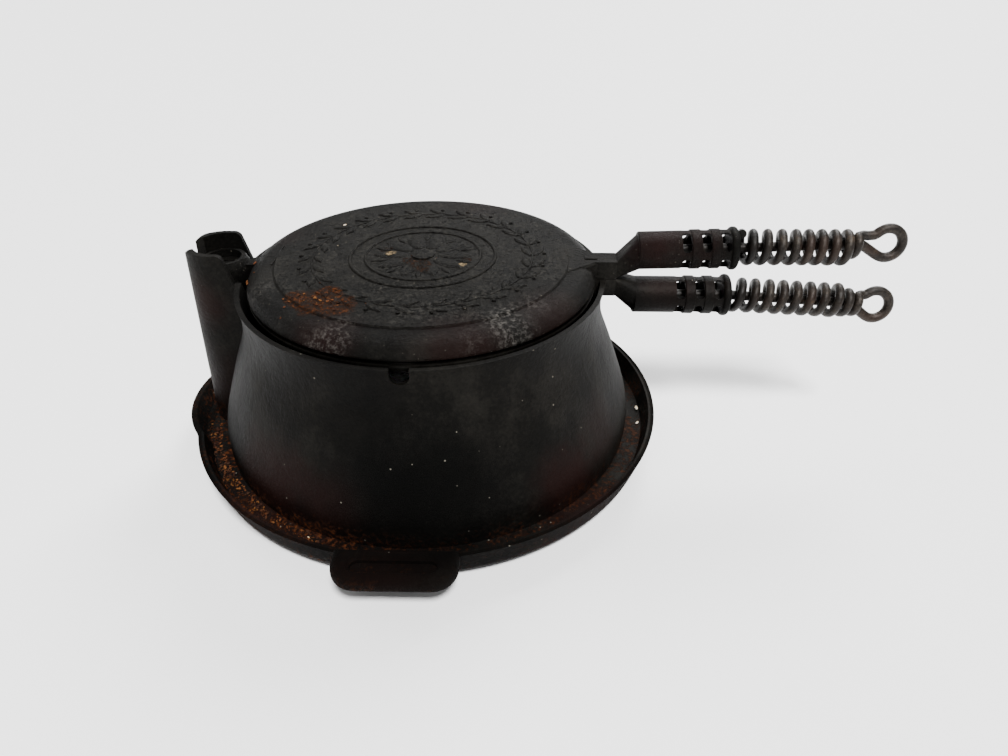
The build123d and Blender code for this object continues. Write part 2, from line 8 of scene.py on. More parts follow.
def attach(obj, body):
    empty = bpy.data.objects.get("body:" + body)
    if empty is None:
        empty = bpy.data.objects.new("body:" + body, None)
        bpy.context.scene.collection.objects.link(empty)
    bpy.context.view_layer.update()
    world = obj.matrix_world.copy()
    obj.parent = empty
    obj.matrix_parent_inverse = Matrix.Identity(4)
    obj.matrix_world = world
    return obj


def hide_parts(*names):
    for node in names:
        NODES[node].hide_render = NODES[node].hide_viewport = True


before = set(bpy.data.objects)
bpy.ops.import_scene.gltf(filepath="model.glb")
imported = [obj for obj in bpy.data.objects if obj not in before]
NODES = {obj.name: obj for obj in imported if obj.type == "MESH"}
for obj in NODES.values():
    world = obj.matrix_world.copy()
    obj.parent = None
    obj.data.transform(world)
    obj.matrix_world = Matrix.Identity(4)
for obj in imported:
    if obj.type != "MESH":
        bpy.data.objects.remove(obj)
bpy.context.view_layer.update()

bl_info = {
    "name": "Stovetop waffle iron finishing",
    "version": (1, 0, 0),
    "blender": (4, 5, 0),
    "location": "View3D > Sidebar > Waffle iron",
    "description": "Dresses a waffle iron: wire grips, lid ornament, crumbs, finishes, stage",
    "category": "Object",
}

MM = 0.001


def metres(values):
    """Values in mm, as metres."""
    return tuple(MM * value for value in values)


# ---- sizes and colours a user may change ----------------------------------------------
def distance(name, description, default):
    return bpy.props.FloatProperty(
        name=name,
        description=description,
        default=default,
        subtype="DISTANCE",
        unit="LENGTH",
        precision=5,
    )


def angle(name, description, degrees):
    return bpy.props.FloatProperty(
        name=name,
        description=description,
        default=radians(degrees),
        subtype="ANGLE",
        unit="ROTATION",
    )


def plain(name, description, default):
    return bpy.props.FloatProperty(name=name, description=description, default=default)


def whole(name, description, default, least=0):
    return bpy.props.IntProperty(name=name, description=description, default=default, min=least)


def colour(name, description, default):
    return bpy.props.FloatVectorProperty(
        name=name,
        description=description,
        default=default,
        size=3,
        min=0.0,
        max=1.0,
        subtype="COLOR",
    )


class GripSizes(bpy.types.PropertyGroup):
    """What both wire grips share."""

    rod_radius: distance("Rod radius", "Half the thickness of the rod and the eye", 2.8 * MM)
    coil_wire_radius: distance("Coil wire radius", "Half the coiled wire's thickness", 2.5 * MM)
    coil_radius: distance("Coil radius", "From the rod's axis to the coiled wire's", 7.7 * MM)
    eye_radius: distance("Eye radius", "From the middle of the eye to its wire's axis", 8.2 * MM)
    bend_radius: distance("Bend radius", "Where the rod turns into the eye", 3.5 * MM)
    barrel_x: distance("Barrel start", "Along X, from the middle of the base", 121.2 * MM)
    collar_length: distance("Collar", "From the barrel's start to the collar's end", 55.0 * MM)
    rod_start: distance("Rod start", "Along the barrel, where the rod begins in it", 12.0 * MM)
    coil_seat: distance("Coil seat", "From the collar's end to the first turn's axis", 2.6 * MM)


class UpperGrip(bpy.types.PropertyGroup):
    """Where the upper grip lies and how it is wound."""

    barrel_z: distance("Barrel height", "Of the barrel's axis at its start", 120.3 * MM)
    barrel_tilt: angle("Barrel tilt", "Of the barrel above level", 2.0)
    rod_tilt: angle("Rod tilt", "Of the rod above level", 2.6)
    grip_length: distance("Grip length", "From the collar to the eye's bend", 67.3 * MM)
    leg_angle: angle("Leg angle", "Between each of the eye's legs and the rod", 34.0)
    eye_turn: angle("Eye turn", "Of the eye about the rod", -8.0)
    coil_lean: angle("Coil lean", "Of the loose coil towards the other grip", 2.3)
    coil_offset: distance("Coil offset", "At the collar, towards the other grip", -0.6 * MM)
    neck: distance("Neck", "From the rod's axis to that of the wire beside it", 4.7 * MM)
    tight_turns: plain("Tight turns", "Turns that hug the eye's neck", 0.9)


class LowerGrip(bpy.types.PropertyGroup):
    """Where the lower grip lies and how it is wound."""

    barrel_z: distance("Barrel height", "Of the barrel's axis at its start", 93.1 * MM)
    barrel_tilt: angle("Barrel tilt", "Of the barrel below level", 0.0)
    rod_tilt: angle("Rod tilt", "Of the rod below level", 3.6)
    grip_length: distance("Grip length", "From the collar to the eye's bend", 70.9 * MM)
    leg_angle: angle("Leg angle", "Between each of the eye's legs and the rod", 34.0)
    eye_turn: angle("Eye turn", "Of the eye about the rod", 12.0)
    coil_lean: angle("Coil lean", "Of the loose coil towards the other grip", 0.7)
    coil_offset: distance("Coil offset", "At the collar, towards the other grip", 0.3 * MM)
    neck: distance("Neck", "From the rod's axis to that of the wire beside it", 5.3 * MM)
    tight_turns: plain("Tight turns", "Turns that hug the eye's neck", 1.9)


class OrnamentSizes(bpy.types.PropertyGroup):
    """The low relief on the lid."""

    centre_x: distance("Centre", "Along X, from the middle of the base", 0.8 * MM)
    ring_radius: distance("Ring radius", "Of the outer ring round the rosette", 41.0 * MM)
    ring_gap: distance("Ring gap", "From the outer ring to the inner one", 8.5 * MM)
    ring_width: distance("Ring width", "Of the outer ring's foot", 2.0 * MM)
    relief: distance("Relief", "Height of the ornament over the lid", 0.9 * MM)
    petals: whole("Petals", "Of the rosette", 10, 3)
    leaves: whole("Leaves", "Pairs of leaves in the wreath", 26, 3)
    wreath_radius: distance("Wreath radius", "To the middle of the wreath", 62.0 * MM)


class CrumbSizes(bpy.types.PropertyGroup):
    """Rust crumbs and residue."""

    seed: whole("Seed", "Of their scatter", 11)
    count: whole("Count", "Crumbs heaped in the trough", 900, 1)
    smallest: distance("Smallest", "Crumb in the trough, across", 0.45 * MM)
    largest: distance("Largest", "Crumb in the trough, across", 2.4 * MM)


class IronColours(bpy.types.PropertyGroup):
    """Colours of the finishes."""

    # also the painted shade on the lip's outer side and on the wire inside the cages
    iron_dark: colour("Iron, dark", "Sooty hollows of the casting", (0.0010, 0.0009, 0.0007))
    iron: colour("Iron", "Seasoned cast iron", (0.0030, 0.0027, 0.0022))
    iron_light: colour("Iron, light", "Rubbed and dusty iron", (0.0105, 0.0096, 0.0080))
    iron_worn: colour("Iron, worn", "Grain on the lid's top", (0.0195, 0.0182, 0.0155))
    # painted shade: the darkest colour, laid on the middle of the base's front wall
    front_shade: colour("Soot", "Blackest part of the base's front", (0.0004, 0.0004, 0.0003))
    maroon: colour("Brown seasoning", "Film of baked oil", (0.0085, 0.0028, 0.0022))
    # also a painted highlight: lightens the front of the lid's shoulder
    dust: colour("Dust", "Dry dust on the lid's shoulder", (0.135, 0.127, 0.115))
    rust: colour("Rust", "Orange rust", (0.085, 0.026, 0.008))
    rust_dark: colour("Rust, old", "Dark rust", (0.019, 0.0062, 0.0032))
    rust_bright: colour("Rust, bright", "The brightest crumbs", (0.125, 0.052, 0.014))
    crust: colour("Crust", "Baked-on crumbs", (0.030, 0.0135, 0.0068))
    residue: colour("Residue", "Pale dried batter", (0.33, 0.235, 0.12))
    residue_pale: colour("Residue, pale", "Its palest grains", (0.66, 0.62, 0.55))
    wire: colour("Wire", "Oxidised steel wire", (0.0125, 0.0096, 0.0076))
    wire_light: colour("Wire, rubbed", "Where hands have rubbed it", (0.036, 0.029, 0.022))
    wire_brown: colour("Wire, brown", "Broad brown stains", (0.022, 0.0115, 0.0075))
    wire_ochre: colour("Wire, ochre", "Small ochre stains", (0.085, 0.048, 0.020))
    floor: colour("Floor", "Of the stage", (0.93, 0.93, 0.93))


class StageSizes(bpy.types.PropertyGroup):
    """Camera and floor."""

    lens: plain("Lens", "Focal length in mm, for a 36 mm sensor", 26.423)
    floor_size: distance("Floor", "Width of the floor", 9.0)


GROUPS = {
    "wi_grip": GripSizes,
    "wi_upper": UpperGrip,
    "wi_lower": LowerGrip,
    "wi_ornament": OrnamentSizes,
    "wi_crumbs": CrumbSizes,
    "wi_colours": IronColours,
    "wi_stage": StageSizes,
}


# ---- shader building ------------------------------------------------------------------
class Value:
    """A number socket that takes part in sums as a plain number does."""

    def __init__(self, finish, socket):
        self.finish = finish
        self.socket = socket

    def _math(self, operation, *terms, clamp=False):
        settings = {"operation": operation, "use_clamp": clamp}
        node = self.finish.node("ShaderNodeMath", settings, dict(enumerate(terms)))
        return Value(self.finish, node.outputs[0])

    def __add__(self, other):
        return self._math("ADD", self, other)

    __radd__ = __add__

    def __sub__(self, other):
        return self._math("SUBTRACT", self, other)

    def __rsub__(self, other):
        return self._math("SUBTRACT", other, self)

    def __mul__(self, other):
        return self._math("MULTIPLY", self, other)

    __rmul__ = __mul__

    def __truediv__(self, other):
        return self._math("DIVIDE", self, other)

    def __rtruediv__(self, other):
        return self._math("DIVIDE", other, self)

    def clamped(self):
        return self._math("ADD", self, 0.0, clamp=True)

    def larger(self, other):
        return self._math("MAXIMUM", self, other)

    def size(self):
        return self._math("ABSOLUTE", self)

    def root(self):
        return self._math("SQRT", self)

    def step(self, low, high):
        """0 below low, 1 above high, smooth between."""
        node = self.finish.node(
            "ShaderNodeMapRange",
            {"interpolation_type": "SMOOTHSTEP", "clamp": True},
            {"Value": self, "From Min": low, "From Max": high, "To Min": 0.0, "To Max": 1.0},
        )
        return Value(self.finish, node.outputs["Result"])

    def past(self, places):
        """0 before the first of two places, in mm, and 1 past the second."""
        return self.step(*metres(places))


# Each noise: cells per metre, detail, roughness.
NOISES = {
    "mottle": (26, 6, 0.62),
    "cloud": (9, 3, 0.5),
    "streak": (60, 4, 0.6),
    "grain": (520, 4, 0.6),
    "grit": (1500, 2, 0.6),
    "base_edge": (55, 5, 0.65),
    "base_flecks": (420, 5, 0.7),
    "base_scratch": (240, 2, 0.5),
    "base_scratched": (30, 2, 0.55),
    "lid_edge": (75, 6, 0.7),
    "lid_flecks": (460, 5, 0.75),
    "lid_dust": (420, 6, 0.8),
    "lid_pits": (520, 4, 0.7),
    "lid_scratch": (260, 2, 0.5),
    "lid_scratched": (34, 2, 0.55),
    "lower_edge": (70, 5, 0.65),
    "wire_blotch": (110, 5, 0.65),
    "wire_grain": (900, 4, 0.65),
    "wire_stain": (45, 3, 0.5),
    "crumb_grain": (1400, 4, 0.7),
    "residue_grain": (1100, 4, 0.7),
    "floor": (3, 3, 0.5),
}


class Finish:
    """A procedural material as it is put together."""

    def __init__(self, name):
        self.colours = bpy.context.scene.wi_colours
        self.material = bpy.data.materials.new(name)
        self.material.use_nodes = True
        self.material.node_tree.nodes.clear()
        self.place = self.node("ShaderNodeTexCoord").outputs["Object"]

    def node(self, kind, settings=None, inputs=None):
        """Any node: its settings first, then a value or a link for each of its sockets."""
        tree = self.material.node_tree
        node = tree.nodes.new(kind)
        for key, setting in (settings or {}).items():
            if key == "stops":
                ramp = node.color_ramp
                while len(ramp.elements) < len(setting):
                    ramp.elements.new(0.5)
                for element, (position, tint) in zip(ramp.elements, setting):
                    element.position = position
                    element.color = (*tint, 1.0)
            else:
                setattr(node, key, setting)
        for key, given in (inputs or {}).items():
            socket = node.inputs[key]
            if isinstance(given, Value):
                tree.links.new(given.socket, socket)
            elif isinstance(given, bpy.types.NodeSocket):
                tree.links.new(given, socket)
            elif isinstance(socket.default_value, float):
                socket.default_value = float(given)
            else:
                length = len(socket.default_value)
                socket.default_value = (*given, 1.0)[:length]
        return node

    def tint(self, given):
        """The colour of that name; a colour or a socket stays as it is."""
        return tuple(getattr(self.colours, given)) if isinstance(given, str) else given

    def noise(self, name, place=None):
        scale, detail, rough = NOISES[name]
        node = self.node(
            "ShaderNodeTexNoise",
            {"noise_dimensions": "3D"},
            {"Vector": place or self.place, "Scale": scale, "Detail": detail, "Roughness": rough},
        )
        return Value(self, node.outputs["Fac"])

    def cells(self, scale):
        """(distance to the nearest cell's middle, a random number for each cell)."""
        node = self.node(
            "ShaderNodeTexVoronoi",
            {"feature": "F1"},
            {"Vector": self.place, "Scale": scale, "Randomness": 1.0},
        )
        parts = self.node("ShaderNodeSeparateColor", None, {"Color": node.outputs["Color"]})
        return Value(self, node.outputs["Distance"]), Value(self, parts.outputs[0])

    def stretched(self, scale, turn=(0.0, 0.0, 0.0)):
        node = self.node(
            "ShaderNodeMapping",
            {"vector_type": "POINT"},
            {"Vector": self.place, "Scale": scale, "Rotation": turn},
        )
        return node.outputs["Vector"]

    def axes(self):
        node = self.node("ShaderNodeSeparateXYZ", None, {"Vector": self.place})
        return [Value(self, node.outputs[i]) for i in range(3)]

    def away_from(self, point):
        """Metres to a point, in mm."""
        node = self.node(
            "ShaderNodeVectorMath",
            {"operation": "DISTANCE"},
            {0: self.place, 1: metres(point)},
        )
        return Value(self, node.outputs["Value"])

    def spot(self, point, radius, ragged, edge, ragging):
        """A patch round a point, both in mm, whose edge follows a noise."""
        inside = 1.0 - self.away_from(point) / (radius * MM) + (ragged - 0.5) * ragging
        return inside.step(0.0, edge)

    def spots(self, marks, ragged, edge, ragging):
        """One mask of several spots: (point, radius) in mm."""
        mask = 0.0
        for point, radius in marks:
            mask = self.spot(point, radius, ragged, edge, ragging).larger(mask)
        return mask

    def blend(self, share, under, over):
        node = self.node(
            "ShaderNodeMix",
            {"data_type": "RGBA", "blend_type": "MIX"},
            {0: share, 6: self.tint(under), 7: self.tint(over)},
        )
        return node.outputs[2]

    def ramp(self, share, *stops):
        """Stops are (position, colour)."""
        tints = [(position, self.tint(given)) for position, given in stops]
        return self.node("ShaderNodeValToRGB", {"stops": tints}, {"Fac": share}).outputs["Color"]

    def bumps(self, *layers):
        """One normal from (height, depth in mm) layers, each over the one before."""
        normal = None
        for height, depth in layers:
            given = {"Height": height, "Distance": depth * MM, "Strength": 1.0}
            if normal is not None:
                given["Normal"] = normal
            normal = self.node("ShaderNodeBump", None, given).outputs["Normal"]
        return normal

    def finish(self, base, roughness, metallic, normal, **fixed):
        given = {"Base Color": base, "Roughness": roughness, "Metallic": metallic}
        given = {**given, "Normal": normal, **fixed}
        shader = self.node("ShaderNodeBsdfPrincipled", None, given)
        self.node("ShaderNodeOutputMaterial", None, {"Surface": shader.outputs["BSDF"]})
        return self.material

    def iron(self, base, roughness, *layers):
        """The close of every iron finish."""
        fixed = {"Specular IOR Level": IRON_SHEEN}
        return self.finish(base, roughness.clamped(), IRON_METALLIC, self.bumps(*layers), **fixed)


# ---- finishes -------------------------------------------------------------------------
IRON_ROUGH = 0.52
IRON_SHEEN = 0.06
IRON_METALLIC = 0.25
# Brown seasoning: middle (mm), radius (mm), strength.
BASE_FILM = (
    ((-75, -98, 24), 46, 0.85),
    ((-38, -116, 30), 30, 0.6),
    ((82, -92, 26), 34, 0.7),
    ((104, -62, 40), 30, 0.45),
    ((-128, -16, 92), 26, 0.65),
    ((-131, -20, 40), 34, 0.45),
    ((-3, -150, 22), 42, 0.75),
    ((96, -96, 18), 40, 0.5),
    ((70, 100, 40), 50, 0.5),
    ((-60, 105, 60), 44, 0.4),
)
LID_FILM = (
    ((30, -92, 110), 34, 0.6),
    ((-38, -86, 110), 26, 0.6),
    ((74, -60, 110), 30, 0.5),
    ((132, 0, 124), 24, 0.85),
    ((156, 0, 126), 20, 0.6),
    ((-88, 30, 110), 26, 0.35),
    ((30, 84, 110), 34, 0.35),
)
LOWER_FILM = (
    ((140, 0, 95), 26, 0.5),
    ((172, 0, 96), 14, 0.7),
    ((0, 0, 94), 60, 0.5),
)
FILM_GLOSS = 0.05           # how much smoother the film is than bare iron
# Dry dust on the shoulder's front, painted light enough to serve as its highlight too: middle
# (mm), radius (mm), strength.
LID_DUST_AND_SHEEN = (
    ((-34, -83, 106), 17, 1.0),
    ((30, -84, 106), 13, 0.8),
    ((47, -72, 106), 19, 1.0),
    ((64, -54, 107), 14, 0.8),
    ((-80, -40, 107), 18, 0.2),
    ((8, -66, 115), 24, 0.08),
)
# Old rust, baked crust and dried batter on the lid: middle (mm), radius (mm).
LID_RUST = (
    ((-47, -57, 116), 15),
    ((-36, -62, 116), 12),
    ((-43, -47, 116), 8),
    ((-57, -53, 116), 8),
)
LID_CRUST = (
    ((1, -13, 116), 7.5),
    ((-6, -8, 116), 5),
    ((3, -20, 116), 4),
    ((26, -6, 116), 3.6),
    ((-20, 6, 116), 5),
)
LID_RESIDUE = (((-18, 1, 116), 3.6), ((24, -12, 116), 2.4))
# Painted shade on the middle of the base's front wall: middle (mm), radius (mm).
FRONT_SHADE = ((12, -118, 40), 66)
SPECK_CORE, SPECK_SHOWS, SPECK_ROUGH = 0.4, 0.8, 0.25
# Pale specks: share of the cells that have one, cells per metre, reach in cells, colour.
BASE_SPECKS = (0.20, 190, 0.11, (0.15, 0.137, 0.112))
LID_SPECKS = (0.16, 240, 0.11, (0.14, 0.125, 0.10))
LID_FINE_SPECKS = (0.22, 560, 0.2, (0.060, 0.055, 0.046))
LOWER_SPECKS = (0.04, 240, 0.10, (0.26, 0.235, 0.20))
# Where masks fade in, in mm. By height:
TROUGH_DEPTH = (10, 26)
PLATEAU = (115.2, 116.0)
LOWER_FLANGE = (95, 100)
# by distance from the base's axis, on the lip less a share of the height:
FIRE_SIDE = (99, 101)
TROUGH_SIDE = (118, 121)
LIP_SIDE = (133.8, 134.8)
LIP_SLOPE = 0.2
# and along X, on the left with a share of Y:
DUSTY_LEFT = (-110, 30)
DUSTY_TURN = 0.35
LID_NECK = (82, 86)
COLLAR_MOUTH = (186, 196)
CRUMB_CELLS = 290           # patches of one brown, per metre


def iron_ground(finish):
    """What every iron casting starts from: (colour, roughness, grain, mottle)."""
    mottle = finish.noise("mottle")
    grain = finish.noise("grain")
    streak = finish.noise("streak", finish.stretched((1.0, 1.0, 0.22)))
    shade = 0.42 * mottle + 0.2 * finish.noise("cloud") + 0.2 * grain + 0.18 * streak
    base = finish.ramp(shade, (0.40, "iron_dark"), (0.5, "iron"), (0.62, "iron_light"))
    rough = IRON_ROUGH + 0.22 * (mottle - 0.5) + 0.16 * (grain - 0.5)
    return base, rough, 0.7 * grain + 0.3 * finish.noise("grit"), mottle


def specked(finish, base, rough, specks):
    """Small pale specks of dust in some of a noise's cells."""
    share, scale, reach, tint = specks
    near, pick = finish.cells(scale)
    chosen = pick.step(1.0 - share, 1.0 - share + 0.01)
    speck = (1.0 - near.step(reach * SPECK_CORE, reach)) * chosen
    return finish.blend(speck * SPECK_SHOWS, base, tint), rough + SPECK_ROUGH * speck


def scratched(finish, base, name, turn, thin, patch, share):
    """Fine light marks that run one way, where a second noise has its patches."""
    line = finish.noise(f"{name}_scratch", finish.stretched((1.0, 0.05, 1.0), turn))
    marks = 1.0 - (line - 0.5).size().step(0.0, thin)
    marks = marks * finish.noise(f"{name}_scratched").step(*patch)
    return finish.blend(marks * share, base, "iron_light")


def seasoned(finish, base, rough, marks, ragged):
    """Brown film on an iron ground."""
    for point, radius, strength in marks:
        share = finish.spot(point, radius, ragged, 0.9, 0.9) * strength
        base = finish.blend(share, base, "maroon")
        rough = rough - FILM_GLOSS * share
    return base, rough


def base_finish():
    """The base: seasoned iron, browner low down, sooty inside, rust grit in its trough, painted
    shade on the middle of its front wall and on the lip's outer side.
    """
    finish = Finish("base_iron_finish")
    base, rough, height, mottle = iron_ground(finish)
    x, y, z = finish.axes()
    ragged = finish.noise("base_edge")
    flecks = finish.noise("base_flecks")
    base, rough = seasoned(finish, base, rough, BASE_FILM, ragged)
    reach = (x * x + y * y).root()
    in_trough = (1.0 - z.past(TROUGH_DEPTH)) * reach.past(TROUGH_SIDE)
    left = 1.0 - (x + DUSTY_TURN * y).past(DUSTY_LEFT)
    dust = in_trough * (0.35 + 0.65 * left) * (ragged + flecks * 0.8).step(0.86, 1.02)
    rust = finish.ramp(flecks, (0.35, "iron_dark"), (0.5, "rust_dark"), (0.66, "rust"))
    base = finish.blend(dust * 0.9, base, rust)
    rough = rough + 0.35 * dust
    # painted shade: the lip's outer side, which faces down, is darkened towards iron_dark; it is
    # also made rougher
    shaded_lip_side = (reach - LIP_SLOPE * z).past(LIP_SIDE)
    base = finish.blend(shaded_lip_side * 0.5, base, "iron_dark")
    rough = rough + 0.36 * shaded_lip_side
    sooty = 1.0 - reach.past(FIRE_SIDE)
    base = finish.blend(sooty * 0.75, base, "iron_dark")
    rough = rough + 0.2 * sooty
    # painted shade: the middle of the base's front wall is darkened almost to black
    front = finish.spot(*FRONT_SHADE, ragged, 0.8, 0.6)
    base = finish.blend(front * 0.92, base, "front_shade")
    rough = rough + 0.2 * front
    base = scratched(finish, base, "base", (0.2, 0.9, 0.4), 0.006, (0.55, 0.7), 0.35)
    base, rough = specked(finish, base, rough, BASE_SPECKS)
    return finish.iron(base, rough + 0.12, (height, 0.45), (mottle, 1.6), (dust * flecks, 1.2))


def lid_finish():
    """The lid: a dusty, pitted plateau with rust and crust, brown film on its shoulder, and dust
    on the shoulder's front that also serves as a painted highlight.
    """
    finish = Finish("upper_pan_iron_finish")
    base, rough, height, mottle = iron_ground(finish)
    x, _, z = finish.axes()
    ragged = finish.noise("lid_edge")
    flecks = finish.noise("lid_flecks")
    fine = finish.noise("lid_dust")
    plateau = z.past(PLATEAU) * (1.0 - x.past(LID_NECK))
    worn = plateau * (0.25 + 0.75 * ragged.step(0.42, 0.62)) * fine.step(0.46, 0.58)
    base = finish.blend(worn * 0.9, base, "iron_worn")
    # dust and painted highlight on the front of the shoulder
    for point, radius, strength in LID_DUST_AND_SHEEN:
        dusty = finish.spot(point, radius, ragged, 0.9, 0.9) * strength * fine.step(0.48, 0.60)
        base = finish.blend(dusty, base, "dust")
    base, rough = seasoned(finish, base, rough + 0.12 * worn, LID_FILM, ragged)
    pits = finish.noise("lid_pits").step(0.56, 0.66) * (0.3 + 0.7 * ragged.step(0.40, 0.60))
    pits = plateau * pits
    base = finish.blend(pits * 0.7, base, "iron_dark")
    grit = finish.spots(LID_RUST, ragged, 0.35, 1.1) * (0.3 + 0.7 * flecks.step(0.42, 0.6))
    rust = finish.ramp(flecks, (0.38, "rust_dark"), (0.52, "crust"), (0.64, "rust"))
    base = finish.blend(grit, base, rust)
    crusted = finish.spots(LID_CRUST, ragged, 0.3, 1.3) * flecks.step(0.46, 0.60)
    base = finish.blend(crusted * 0.9, base, "crust")
    dried = finish.spots(LID_RESIDUE, flecks, 0.5, 1.6) * flecks.step(0.46, 0.62)
    base = finish.blend(dried * 0.7, base, "residue")
    rough = rough + 0.3 * grit + 0.25 * crusted
    base = scratched(finish, base, "lid", (0.0, 0.3, 0.9), 0.005, (0.55, 0.72), 0.3)
    base, rough = specked(finish, base, rough, LID_SPECKS)
    base, rough = specked(finish, base, rough, LID_FINE_SPECKS)
    dirt = flecks * (grit + crusted) - pits
    return finish.iron(base, rough, (height, 0.5), (mottle, 1.2), (fine, 0.9), (dirt, 1.4))


def lower_finish():
    """The lower pan: the same iron, sooty underneath."""
    finish = Finish("lower_pan_iron_finish")
    base, rough, height, mottle = iron_ground(finish)
    z = finish.axes()[2]
    base, rough = seasoned(finish, base, rough, LOWER_FILM, finish.noise("lower_edge"))
    sooty = (1.0 - z.past(LOWER_FLANGE)) * 0.6
    base = finish.blend(sooty, base, "iron_dark")
    base, rough = specked(finish, base, rough + 0.1 * sooty, LOWER_SPECKS)
    return finish.iron(base, rough, (height, 0.5), (mottle, 1.4))


def wire_finish():
    """The grips' wire: grey-brown oxide with brown and ochre stains, with painted shade inside
    the cages.
    """
    finish = Finish("handle_wire_finish")
    blotch = finish.noise("wire_blotch")
    grain = finish.noise("wire_grain")
    shade = 0.6 * blotch + 0.4 * grain
    base = finish.ramp(shade, (0.36, "iron"), (0.5, "wire"), (0.66, "wire_light"))
    stained = finish.noise("wire_stain").step(0.52, 0.66)
    base = finish.blend(stained * 0.45, base, "wire_brown")
    ochre = blotch.step(0.58, 0.7) * grain.step(0.45, 0.6)
    base = finish.blend(ochre * 0.45, base, "wire_ochre")
    # painted shade: the wire inside the cages, and a little past the collar's end, is darkened
    # towards iron_dark
    caged_shade = 1.0 - finish.axes()[0].past(COLLAR_MOUTH)
    base = finish.blend(caged_shade * 0.8, base, "iron_dark")
    rough = (0.42 + 0.3 * (grain - 0.5) + 0.2 * ochre).clamped()
    normal = finish.bumps((grain, 0.3), (blotch, 0.5))
    return finish.finish(base, rough, 0.35, normal, **{"Specular IOR Level": 0.2})


def crumb_finish():
    """Rust crumbs: each part of the heap in its own brown."""
    finish = Finish("rust_crumb_finish")
    pick = finish.cells(CRUMB_CELLS)[1]
    grain = finish.noise("crumb_grain")
    shade = 0.75 * pick + 0.25 * grain
    stops = ((0.24, "rust_dark"), (0.50, "crust"), (0.68, "rust"), (0.88, "rust_bright"))
    base = finish.ramp(shade, *stops)
    normal = finish.bumps((grain, 0.5))
    return finish.finish(base, 0.72 + 0.25 * grain, 0.0, normal, **{"Specular IOR Level": 0.12})


def residue_finish():
    """Pale dried flakes."""
    finish = Finish("residue_finish")
    grain = finish.noise("residue_grain")
    base = finish.blend(grain.step(0.4, 0.65), "residue", "residue_pale")
    return finish.finish(base, 0.7 + 0.2 * grain, 0.0, finish.bumps((grain, 0.4)))


def floor_finish():
    """The plain pale floor, a touch darker in places."""
    finish = Finish("floor_finish")
    faint = finish.noise("floor")
    base = finish.blend(faint * 0.25, "floor", tuple(0.96 * c for c in finish.tint("floor")))
    return finish.finish(base, 0.55 + 0.1 * faint, 0.0, finish.bumps((faint, 0.1)))


FINISHES = {
    "base": base_finish,
    "lid": lid_finish,
    "lower": lower_finish,
    "wire": wire_finish,
    "crumb": crumb_finish,
    "residue": residue_finish,
    "floor": floor_finish,
}
made_finishes = {}


def finish_named(name):
    """The finish, made on its first use."""
    if name not in made_finishes:
        made_finishes[name] = FINISHES[name]()
    return made_finishes[name]


# ---- modelling helpers ----------------------------------------------------------------
SAME_PLACE = 0.002 * MM     # vertices this close are one
PLUMB_FROM = 300 * MM       # height that a plumb line starts from


def deselect_all():
    if bpy.context.object and bpy.context.object.mode != "OBJECT":
        bpy.ops.object.mode_set(mode="OBJECT")
    bpy.ops.object.select_all(action="DESELECT")


def only(piece):
    """Select one piece alone."""
    deselect_all()
    piece.select_set(True)
    bpy.context.view_layer.objects.active = piece


def select_where(piece, kind, test):
    """In edit mode, select the vertices or faces whose place passes a test."""
    bpy.ops.object.mode_set(mode="OBJECT")
    for group in (piece.data.vertices, piece.data.edges, piece.data.polygons):
        for item in group:
            item.select = False
    chosen = 0
    for item in getattr(piece.data, kind):
        if test(item.co if kind == "vertices" else item.center):
            item.select = True
            chosen += 1
    bpy.ops.object.mode_set(mode="EDIT")
    bpy.ops.mesh.select_mode(type="VERT" if kind == "vertices" else "FACE")
    if not chosen:
        raise RuntimeError(f"nothing to select on {piece.name}")


def settle(piece, name, finish, body, smooth):
    """Put a finished piece's place in its mesh; give it name, finish and body.

    Edges sharper than smooth, in degrees, stay sharp.
    """
    only(piece)
    bpy.ops.object.transform_apply(location=True, rotation=True, scale=True)
    bpy.ops.object.mode_set(mode="EDIT")
    bpy.ops.mesh.select_all(action="SELECT")
    bpy.ops.mesh.remove_doubles(threshold=SAME_PLACE)
    bpy.ops.mesh.normals_make_consistent(inside=False)
    bpy.ops.object.mode_set(mode="OBJECT")
    bpy.ops.object.shade_smooth_by_angle(angle=radians(smooth))
    piece.name = name
    piece.data.name = name
    piece.data.materials.clear()
    piece.data.materials.append(finish_named(finish))
    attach(piece, body)


def copy_of(piece, matrix):
    """A copy with its own mesh, moved by a matrix."""
    mesh = piece.data.copy()
    mesh.transform(matrix)
    twin = bpy.data.objects.new(piece.name, mesh)
    bpy.context.scene.collection.objects.link(twin)
    return twin


def joined(pieces):
    deselect_all()
    for piece in pieces:
        piece.select_set(True)
    bpy.context.view_layer.objects.active = pieces[0]
    bpy.ops.object.join()
    return bpy.context.view_layer.objects.active


def drop(node, x, y):
    """(point, normal) where a plumb line at x, y meets a casting."""
    start = Vector((x, y, PLUMB_FROM))
    hit, point, normal, _ = NODES[node].ray_cast(start, Vector((0, 0, -1)))
    if not hit:
        raise RuntimeError(f"no {node} under {x}, {y}")
    return point, normal


def frame_to(normal):
    """A turn that takes Z to a surface's normal."""
    return normal.to_track_quat("Z", "Y").to_matrix().to_4x4()


# ---- wire grips -----------------------------------------------------------------------
# Pitch of each turn of a coil, from the collar to the eye, in mm. Of the lower coil's
# first turn only the half nearer the eye is there.
UPPER_PITCHES = (6.2, 8.0, 8.0, 7.8, 7.1, 7.1, 7.2, 7.0, 5.5)
LOWER_PITCHES = (9.3, 7.75, 8.3, 8.1, 7.8, 8.0, 8.0, 8.1, 6.7, 5.6)
COIL_STEPS = 12             # points in a turn
EYE_STEPS = 14
CAGE_KNOTS = (-14, -3)      # points of the rod before the collar's end, in mm
ROD_KNOTS = (0.06, 0.25, 0.5, 0.75, 0.93)   # and after it, as shares of the grip
WIRE_ROUND = 4              # bevel resolution
WIRE_FINE = 3               # pieces between two points
WIRE_SMOOTH = 60            # degrees


